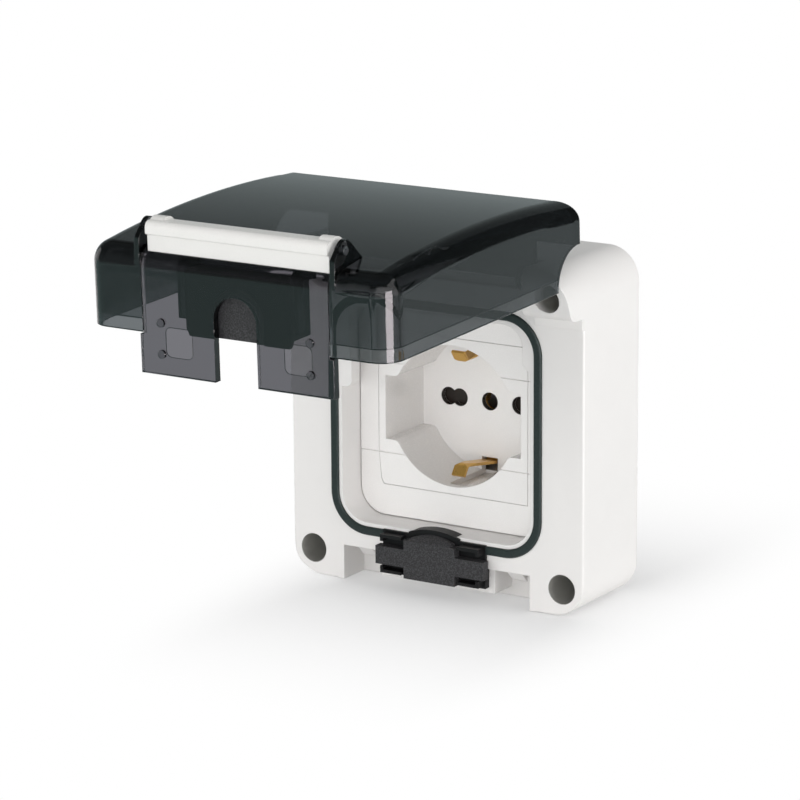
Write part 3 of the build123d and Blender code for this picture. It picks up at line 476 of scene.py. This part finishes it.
@dataclass(frozen=True)
class SheetMetal:
    """A rolled or plated metal with fine lines, drawn out along Y and Z."""

    name: str
    colour: str
    shade: str
    roughness: float
    metallic: float
    line_mm: float
    line_stretch: float
    edge_mm: float
    line_detail: float = 3.0
    line_fineness: float = 0.6
    rough_spread: float = 0.25

    def material(self) -> bpy.types.Material:
        """Build the node tree.

        Returns:
            The material.
        """
        made = empty_material(self.name)
        tree = made.node_tree
        place = add_node(tree, "ShaderNodeTexCoord").outputs["Object"]
        fine = 1 / (self.line_mm * MM)
        drawn = add_node(
            tree, "ShaderNodeMapping",
            {"Vector": place, "Scale": (fine, fine / self.line_stretch, fine / self.line_stretch)},
        ).outputs["Vector"]
        lines = add_node(
            tree, "ShaderNodeTexNoise",
            {"Vector": drawn, "Scale": 1.0, "Detail": self.line_detail, "Roughness": self.line_fineness},
        ).outputs["Fac"]
        tint = add_node(
            tree, "ShaderNodeMix",
            {"Factor": lines, "A": linear(self.colour), "B": linear(self.shade)}, data_type="RGBA",
        ).outputs["Result"]
        rough = add_node(
            tree, "ShaderNodeMapRange",
            {"Value": lines, "From Min": NOISE_LOW, "From Max": NOISE_HIGH,
             "To Min": self.roughness * (1 - self.rough_spread),
             "To Max": self.roughness * (1 + self.rough_spread)},
        ).outputs["Result"]
        edge = add_node(
            tree, "ShaderNodeBevel", {"Radius": self.edge_mm * MM}, samples=EDGE_SAMPLES
        ).outputs["Normal"]
        skin = add_node(
            tree, "ShaderNodeBsdfPrincipled",
            {"Base Color": tint, "Roughness": rough, "Metallic": self.metallic, "Normal": edge},
        )
        add_node(tree, "ShaderNodeOutputMaterial", {"Surface": skin.outputs["BSDF"]})
        return made


Finish = MouldedPlastic | SmokedPolycarbonate | SealRubber | SheetMetal

# Painted shade on the walls of the frame's fixing holes: mid grey over their whole depth, as holes this deep
# look in shade.
FIXING_HOLE_SHADE = PaintedHoleShade(
    colour="A5A49F", pitch_x_mm=78.0, pitch_z_mm=80.0, bore_mm=8.0,
    start_mm=-36.0, fade_mm=3.0, end_mm=-0.5,
)
# Polycarbonate and ABS blend for the frame: pale warm grey, satin from a spark-eroded mould.
PALE_GREY_ABS = MouldedPlastic(
    name="pale_grey_abs_satin", colour="E9E7E5", shade="E5E3E1", roughness=0.42, ior=1.54, gloss=0.5,
    grain_mm=0.30, grain_depth_mm=0.010, cloud_mm=7.0, edge_mm=0.35, hole_shades=(FIXING_HOLE_SHADE,),
)
# The same blend on the pull bar, finished smoother where the fingers slide.
PALE_GREY_ABS_SMOOTH = MouldedPlastic(
    name="pale_grey_abs_smooth", colour="E2E1DE", shade="DEDDDA", roughness=0.30, ior=1.54, gloss=0.5,
    grain_mm=0.30, grain_depth_mm=0.004, cloud_mm=7.0, edge_mm=0.30,
)
# Painted shade on the walls of the pin holes in the well's floor: dark, as they look in shade in front of
# the dark shutters.
PIN_HOLE_SHADES = tuple(
    PaintedHoleShade(
        colour="4A4542", pitch_x_mm=pitch, pitch_z_mm=0.0, bore_mm=5.0,
        start_mm=-0.5, fade_mm=0.3, end_mm=1.4,
    )
    for pitch in (0.0, 19.0, 26.0)
)
# Urea resin of the socket insert: near white and a little glossier than the frame.
WHITE_UREA = MouldedPlastic(
    name="white_urea_gloss", colour="F2F0EE", shade="EEECEA", roughness=0.26, ior=1.55, gloss=0.5,
    grain_mm=0.25, grain_depth_mm=0.003, cloud_mm=6.0, edge_mm=0.25, hole_shades=PIN_HOLE_SHADES,
)
# Glass-filled nylon of the seal holders: black, with a dull skin that the fibres roughen, so little gloss.
BLACK_NYLON = MouldedPlastic(
    name="black_nylon_satin", colour="121213", shade="171718", roughness=0.48, ior=1.53, gloss=0.2,
    grain_mm=0.25, grain_depth_mm=0.010, cloud_mm=3.0, edge_mm=0.20,
)
# Acetal of the shutters: dark brown, self-lubricating, with a waxy sheen.
BROWN_ACETAL = MouldedPlastic(
    name="brown_acetal_waxy", colour="2A211B", shade="241C17", roughness=0.38, ior=1.48, gloss=0.5,
    grain_mm=0.25, grain_depth_mm=0.004, cloud_mm=3.0, edge_mm=0.20,
)
# Dyed polycarbonate of the lid: one wall still shows what is behind, two go nearly black.
SMOKED_LID = SmokedPolycarbonate(
    name="smoked_polycarbonate_lid", hue="44535F", wall_mm=2.1, wall_pass=0.065, roughness=0.02,
    ior=1.55, wave_mm=22.0, wave_depth_mm=0.03, edge_mm=0.30,
)
# The apron is a moulding of its own with less dye, so the flaps show more of the frame behind them.
SMOKED_APRON = SmokedPolycarbonate(
    name="smoked_polycarbonate_apron", hue="584E65", wall_mm=2.1, wall_pass=0.125, roughness=0.02,
    ior=1.55, wave_mm=22.0, wave_depth_mm=0.03, edge_mm=0.30,
)
# EPDM cord of the gaskets: extruded, dark with a green cast.
EPDM_CORD = SealRubber(
    name="epdm_cord_extruded", colour="202A29", speck="2C3735", roughness=0.50, ior=1.50, gloss=0.35,
    speck_mm=0.50, speck_share=0.6, pit_mm=0.008, edge_mm=0.30,
)
# Filled rubber of the cable seals: moulded, charcoal, with a grainy matt face.
FILLED_RUBBER = SealRubber(
    name="filled_rubber_moulded", colour="2C2C2D", speck="48484A", roughness=0.72, ior=1.50, gloss=0.3,
    speck_mm=0.38, speck_share=0.9, pit_mm=0.015, edge_mm=0.25,
)
# Rolled brass of the earth spring, contacts and terminals: warm, with rolling lines and a thin dull film.
ROLLED_BRASS = SheetMetal(
    name="brass_rolled", colour="E3B663", shade="CC9E50", roughness=0.34, metallic=0.72, line_mm=0.12,
    line_stretch=12.0, edge_mm=0.12,
)
# Zinc-plated steel of the pins, screws and springs: pale blue-grey, dull bright.
ZINC_STEEL = SheetMetal(
    name="steel_zinc_plated", colour="C4C6C9", shade="B2B4B8", roughness=0.30, metallic=1.0, line_mm=0.20,
    line_stretch=4.0, edge_mm=0.12,
)


@dataclass
class Dresser:
    """Keeps one material for each finish and puts it on the pieces."""

    made: dict[str, bpy.types.Material] = field(default_factory=dict)

    def paint(self, piece: bpy.types.Object, finish: Finish) -> None:
        """Put a finish on an object.

        Args:
            piece: the object.
            finish: the finish that it gets.
        """
        if finish.name not in self.made:
            self.made[finish.name] = finish.material()
        slots = piece.data.materials
        slots.clear()
        slots.append(self.made[finish.name])
        log.info("%s: %s", piece.name, finish.name)

    def dress(self, node: str, finish: Finish) -> None:
        """Put a finish on a node of the frame.

        Args:
            node: the CAD node's name.
            finish: the finish that it gets.
        """
        self.paint(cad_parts[node], finish)


@dataclass
class FrameMoulding:
    """The frame on the panel, with its gaskets and hinge pins."""

    moulding: str = "front_frame"
    cords: tuple[str, ...] = ("panel_gasket", "lid_gasket")
    pins: tuple[str, ...] = ("hinge_pin_left", "hinge_pin_right")

    def dress(self, dresser: Dresser) -> None:
        """Give the frame's pieces their finishes.

        Args:
            dresser: keeps the materials.
        """
        dresser.dress(self.moulding, PALE_GREY_ABS)
        for cord in self.cords:
            dresser.dress(cord, EPDM_CORD)
        for pin in self.pins:
            dresser.dress(pin, ZINC_STEEL)


@dataclass
class ShutterSpring:
    """A coil spring above a shutter, wound to the size of the CAD spring."""

    node: str
    joint: str
    body: str = "frame"
    slot: str = "zinc_steel"
    turns: int = 7
    steps: int = 20
    sides: int = 8
    wire_mm: float = 0.4
    travel_mm: float = 6.0
    clear_share: float = 0.99

    def coil(self, low: Vector, high: Vector) -> bpy.types.Mesh:
        """Wind the wire into a coil that fills a box's height and width.

        Args:
            low: the box's lowest corner.
            high: the box's highest corner.

        Returns:
            The coil's mesh.
        """
        wire = self.wire_mm / 2 * MM
        middle = (low + high) / 2
        radius = (high.x - low.x) / 2 - wire
        rise = high.z - low.z - 2 * wire
        rings = self.turns * self.steps + 1
        points = []
        for i in range(rings):
            turn = math.tau * i / self.steps
            out = Vector((math.cos(turn), math.sin(turn), 0.0))
            start = Vector((middle.x, middle.y, low.z + wire + rise * i / (rings - 1))) + radius * out
            for k in range(self.sides):
                around = math.tau * k / self.sides
                points.append(start + wire * (math.cos(around) * out + Vector((0.0, 0.0, math.sin(around)))))
        faces = []
        for i in range(rings - 1):
            for k in range(self.sides):
                a, b = i * self.sides + k, i * self.sides + (k + 1) % self.sides
                faces.append((a, b, b + self.sides, a + self.sides))
        # Flat ends close the wire.
        faces.append(tuple(reversed(range(self.sides))))
        faces.append(tuple(range((rings - 1) * self.sides, rings * self.sides)))
        mesh = bpy.data.meshes.new(self.node + "_coil")
        mesh.from_pydata(points, [], faces)
        mesh.shade_smooth()
        return mesh

    def build(self, dresser: Dresser) -> None:
        """Put the coil in the CAD spring's place and hang it on its body.

        Args:
            dresser: keeps the materials.
        """
        low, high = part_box(self.node)
        made = add_object(self.node + "_coil", self.coil(low, high))
        dresser.paint(made, ZINC_STEEL)
        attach(made, self.body)
        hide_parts(self.node)
        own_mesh(made)


@dataclass
class SocketInsert:
    """The socket in the opening, from its bezel to its terminals."""

    mouldings: tuple[str, ...] = ("device_bezel", "socket_front", "socket_rear_cover")
    contacts: tuple[str, ...] = (
        "earth_clip", "line_contact", "neutral_contact",
        "line_terminal", "earth_terminal", "neutral_terminal",
    )
    steel: tuple[str, ...] = ("bezel_screws", "rear_cover_screws", "terminal_screws")
    shutters: tuple[str, ...] = ("shutter_left", "shutter_right")
    springs: tuple[ShutterSpring, ...] = (
        ShutterSpring("shutter_spring_left", "left_shutter_slide"),
        ShutterSpring("shutter_spring_right", "right_shutter_slide"),
    )

    def dress(self, dresser: Dresser) -> None:
        """Give the insert's pieces their finishes and wind its springs.

        Args:
            dresser: keeps the materials.
        """
        for nodes, finish in (
            (self.mouldings, WHITE_UREA), (self.contacts, ROLLED_BRASS),
            (self.steel, ZINC_STEEL), (self.shutters, BROWN_ACETAL),
        ):
            for node in nodes:
                dresser.dress(node, finish)
        for spring in self.springs:
            spring.build(dresser)


@dataclass
class SmokedLid:
    """The hinged lid with its latch."""

    shell: str = "lid_shell"
    apron: str = "latch_apron"
    bar: str = "latch_bar"
    pins: str = "latch_pins"

    def dress(self, dresser: Dresser) -> None:
        """Give the lid's pieces their finishes.

        Args:
            dresser: keeps the materials.
        """
        dresser.dress(self.shell, SMOKED_LID)
        dresser.dress(self.apron, SMOKED_APRON)
        dresser.dress(self.bar, PALE_GREY_ABS_SMOOTH)
        dresser.dress(self.pins, ZINC_STEEL)


@dataclass
class CableSeal:
    """The two halves of the cable seal, on the frame and in the lid."""

    holders: tuple[str, ...] = ("frame_seal_holder", "lid_seal_carrier")
    pads: tuple[str, ...] = ("frame_seal_pad", "lid_seal_pad")

    def dress(self, dresser: Dresser) -> None:
        """Give the seal's pieces their finishes.

        Args:
            dresser: keeps the materials.
        """
        for node in self.holders:
            dresser.dress(node, BLACK_NYLON)
        for node in self.pads:
            dresser.dress(node, FILLED_RUBBER)


@dataclass(frozen=True)
class Softbox:
    """A rectangular studio lamp that points at the object, with its power in watts."""

    name: str
    place: Point
    aim: Point
    width: float
    height: float
    power: float

    def build(self) -> None:
        """Hang the lamp."""
        lamp = bpy.data.lights.new(self.name, "AREA")
        lamp.shape = "RECTANGLE"
        lamp.size = self.width
        lamp.size_y = self.height
        lamp.energy = self.power
        made = add_object(self.name, lamp)
        point_at(made, self.place, self.aim, Front.LAMP)
        # The cards give the gloss, so no lamp shows as a bright patch in the polished lid.
        made.visible_glossy = False
        log.info("lamp %s", self.name)


@dataclass(frozen=True)
class MirrorCard:
    """A studio card that shows only in reflections, with a glow that runs evenly from its foot to its top.

    Grey and dark cards calm the polished lid, and a small bright one draws the light along its corner.
    """

    name: str
    place: Point
    aim: Point
    width: float
    height: float
    glow_low: float
    glow_high: float
    colour: str = "E4F2F3"

    def build(self) -> None:
        """Stand the card and hide it from all but reflections."""
        x, y = self.width / 2, self.height / 2
        mesh = flat_sheet(self.name, x, y, 0.0)
        material = empty_material(self.name)
        tree = material.node_tree
        spot = add_node(tree, "ShaderNodeTexCoord").outputs["Object"]
        up = add_node(tree, "ShaderNodeSeparateXYZ", {0: spot}).outputs["Y"]
        glow = add_node(
            tree, "ShaderNodeMapRange",
            {"Value": up, "From Min": -y, "From Max": y, "To Min": self.glow_low, "To Max": self.glow_high},
        ).outputs["Result"]
        face = add_node(tree, "ShaderNodeEmission", {"Color": linear(self.colour), "Strength": glow})
        add_node(tree, "ShaderNodeOutputMaterial", {"Surface": face.outputs["Emission"]})
        mesh.materials.append(material)
        made = add_object(self.name, mesh)
        point_at(made, self.place, self.aim, Front.CARD)
        made.visible_camera = False
        made.visible_diffuse = False
        made.visible_transmission = False
        made.visible_shadow = False
        log.info("card %s", self.name)


@dataclass
class Studio:
    """Camera, floor, world, lamps and cards."""

    # The camera as it was fitted to the photograph, with its angles in degrees.
    azimuth: float = 32.296
    elevation: float = 13.860
    roll: float = -0.384
    distance: float = 1.013699
    target: Point = (-0.010878, -0.029, 0.005096)
    focal_px: float = 3798.17
    image_px: float = 800.0
    sensor_mm: float = 36.0
    # The floor lies just under the object.
    floor_half: float = 4.0
    floor_drop: float = 0.0002
    floor_colour: str = "F4F4F4"
    # Share of the lit floor that shows on the footprint, and how far out from there it fades to white. The
    # lit paper is darker than that white, so this paints a shadow in the footprint's shape over the real
    # cast shadow.
    shadow_share: float = 0.68
    shadow_middle: Point = (0.006, -0.012, 0.0)
    shadow_half: Point = (0.034, 0.018, 1.0)
    shadow_reach: Point = (0.035, 0.110, 1.0)
    shadow_power: float = 2.0
    sky: float = 0.60
    lamp_aim: Point = (0.0, -0.05, 0.0)
    card_aim: Point = (0.0, -0.08, 0.05)
    # Cards on the floor face a point at this height, straight above them.
    overhead: float = 1.0
    corner_card_rise: float = 0.10

    def camera(self) -> None:
        """Set the camera at the photograph's viewing angle."""
        a, e, r = (math.radians(v) for v in (self.azimuth, self.elevation, self.roll))
        back = Vector((math.sin(a) * math.cos(e), -math.cos(a) * math.cos(e), math.sin(e)))
        level = Vector((math.cos(a), math.sin(a), 0.0))
        up = back.cross(level)
        right = math.cos(r) * level + math.sin(r) * up
        up = math.cos(r) * up - math.sin(r) * level
        lens = bpy.data.cameras.new("studio_camera")
        lens.sensor_width = self.sensor_mm
        lens.lens = self.focal_px / self.image_px * self.sensor_mm
        made = add_object("studio_camera", lens)
        turn = Matrix((right, up, back)).transposed().to_4x4()
        made.matrix_world = Matrix.Translation(Vector(self.target) + back * self.distance) @ turn
        bpy.context.scene.camera = made

    def paper(self) -> bpy.types.Material:
        """Make the floor's paper, which shows lit about the object and white further out, as a painted
        shadow over the real one.

        Returns:
            The material.
        """
        made = empty_material("studio_floor_paper")
        tree = made.node_tree
        away = add_node(tree, "ShaderNodeNewGeometry").outputs["Position"]
        # How far out of the object's footprint a point lies, as a share of the shadow's reach each way.
        for operation, by in (
            ("SUBTRACT", self.shadow_middle), ("ABSOLUTE", None), ("SUBTRACT", self.shadow_half),
            ("MAXIMUM", (0.0, 0.0, 0.0)), ("DIVIDE", self.shadow_reach), ("LENGTH", None),
        ):
            inputs = {0: away} if by is None else {0: away, 1: by}
            step = add_node(tree, "ShaderNodeVectorMath", inputs, operation=operation)
            away = step.outputs["Value" if operation == "LENGTH" else "Vector"]
        # Painted shadow: the lit paper shows most on the footprint and fades out to white.
        near = add_node(
            tree, "ShaderNodeMapRange", {"Value": away, "To Min": 1.0, "To Max": 0.0},
        ).outputs["Result"]
        fade = add_node(
            tree, "ShaderNodeMath", {0: near, 1: self.shadow_power}, operation="POWER"
        ).outputs[0]
        share = add_node(
            tree, "ShaderNodeMapRange", {"Value": fade, "To Min": 1.0, "To Max": 1 - self.shadow_share},
        ).outputs["Result"]
        seen = add_node(
            tree, "ShaderNodeMath", {0: white_rays(tree), 1: share}, operation="MULTIPLY"
        ).outputs[0]
        lit = add_node(tree, "ShaderNodeBsdfDiffuse", {"Color": linear(self.floor_colour)})
        white = add_node(tree, "ShaderNodeEmission", {"Strength": 1.0})
        mix = add_node(
            tree, "ShaderNodeMixShader", {0: seen, 1: lit.outputs["BSDF"], 2: white.outputs["Emission"]},
        )
        add_node(tree, "ShaderNodeOutputMaterial", {"Surface": mix.outputs["Shader"]})
        return made

    def floor(self) -> None:
        """Lay the pale floor, with the object's real shadow and a painted shadow near it."""
        mesh = flat_sheet("studio_floor", self.floor_half, self.floor_half, CAD_BOX[0].z - self.floor_drop)
        made = add_object("studio_floor", mesh)
        mesh.materials.append(self.paper())

    def world(self) -> None:
        """Light the scene evenly, with a white background for the camera, gloss and clear pieces."""
        made = bpy.data.worlds.new("studio_world")
        bpy.context.scene.world = made
        made.use_nodes = True
        tree = made.node_tree
        tree.nodes.clear()
        fill = add_node(tree, "ShaderNodeBackground", {"Color": WHITE, "Strength": self.sky})
        white = add_node(tree, "ShaderNodeBackground", {"Color": WHITE, "Strength": 1.0})
        mix = add_node(
            tree, "ShaderNodeMixShader",
            {0: white_rays(tree), 1: fill.outputs["Background"], 2: white.outputs["Background"]},
        )
        add_node(tree, "ShaderNodeOutputWorld", {"Surface": mix.outputs["Shader"]})

    def lamps(self) -> None:
        """Hang the softboxes."""
        for box in (
            Softbox(
                "key_softbox", place=(-0.7, -1.4, 0.3), aim=self.lamp_aim,
                width=1.2, height=0.9, power=6.5,
            ),
            Softbox(
                "fill_softbox", place=(0.45, -1.45, 0.0), aim=self.lamp_aim,
                width=1.0, height=0.6, power=10.5,
            ),
            Softbox(
                "right_softbox", place=(1.4, -0.05, 0.25), aim=self.lamp_aim,
                width=0.8, height=0.8, power=10.0,
            ),
        ):
            box.build()

    def cards(self) -> None:
        """Stand the cards that the lid mirrors."""
        floor = CAD_BOX[0].z
        corner = floor + self.corner_card_rise
        for card in (
            MirrorCard(
                "back_card", place=(-0.40, 1.00, 0.62), aim=self.card_aim, width=3.4, height=1.5,
                glow_low=0.51, glow_high=0.00,
            ),
            MirrorCard(
                "right_back_card", place=(0.78, 0.86, 0.45), aim=self.card_aim, width=1.3, height=1.2,
                glow_low=0.10, glow_high=0.05,
            ),
            MirrorCard(
                "front_left_card", place=(-0.75, -1.15, 0.42), aim=self.card_aim, width=2.2, height=1.4,
                glow_low=0.30, glow_high=0.10,
            ),
            MirrorCard(
                "right_floor_card", place=(0.73, 0.55, floor), aim=(0.73, 0.55, self.overhead),
                width=1.34, height=1.5, glow_low=0.62, glow_high=0.62,
            ),
            MirrorCard(
                "left_floor_card", place=(-0.55, -0.88, floor), aim=(-0.55, -0.88, self.overhead),
                width=1.9, height=1.64, glow_low=0.58, glow_high=0.58, colour="DAF9F7",
            ),
            MirrorCard(
                "ceiling_card", place=(-0.30, -0.20, 1.30), aim=self.card_aim, width=3.0, height=3.0,
                glow_low=0.12, glow_high=0.12,
            ),
            MirrorCard(
                "corner_card", place=(0.275, -0.215, corner), aim=(0.045, -0.118, corner),
                width=0.16, height=0.20, glow_low=9.0, glow_high=9.0, colour="FFF6FA",
            ),
        ):
            card.build()

    def build(self) -> None:
        """Set the whole studio."""
        bpy.context.scene.view_settings.view_transform = "Standard"
        self.camera()
        self.floor()
        self.world()
        self.lamps()
        self.cards()


def main() -> None:
    """Dress every sub-assembly and set the studio."""
    logging.basicConfig(level=logging.INFO, format="%(name)s: %(message)s")
    dresser = Dresser()
    for part in (FrameMoulding(), SocketInsert(), SmokedLid(), CableSeal()):
        part.dress(dresser)
    Studio().build()


if __name__ == "__main__":
    main()
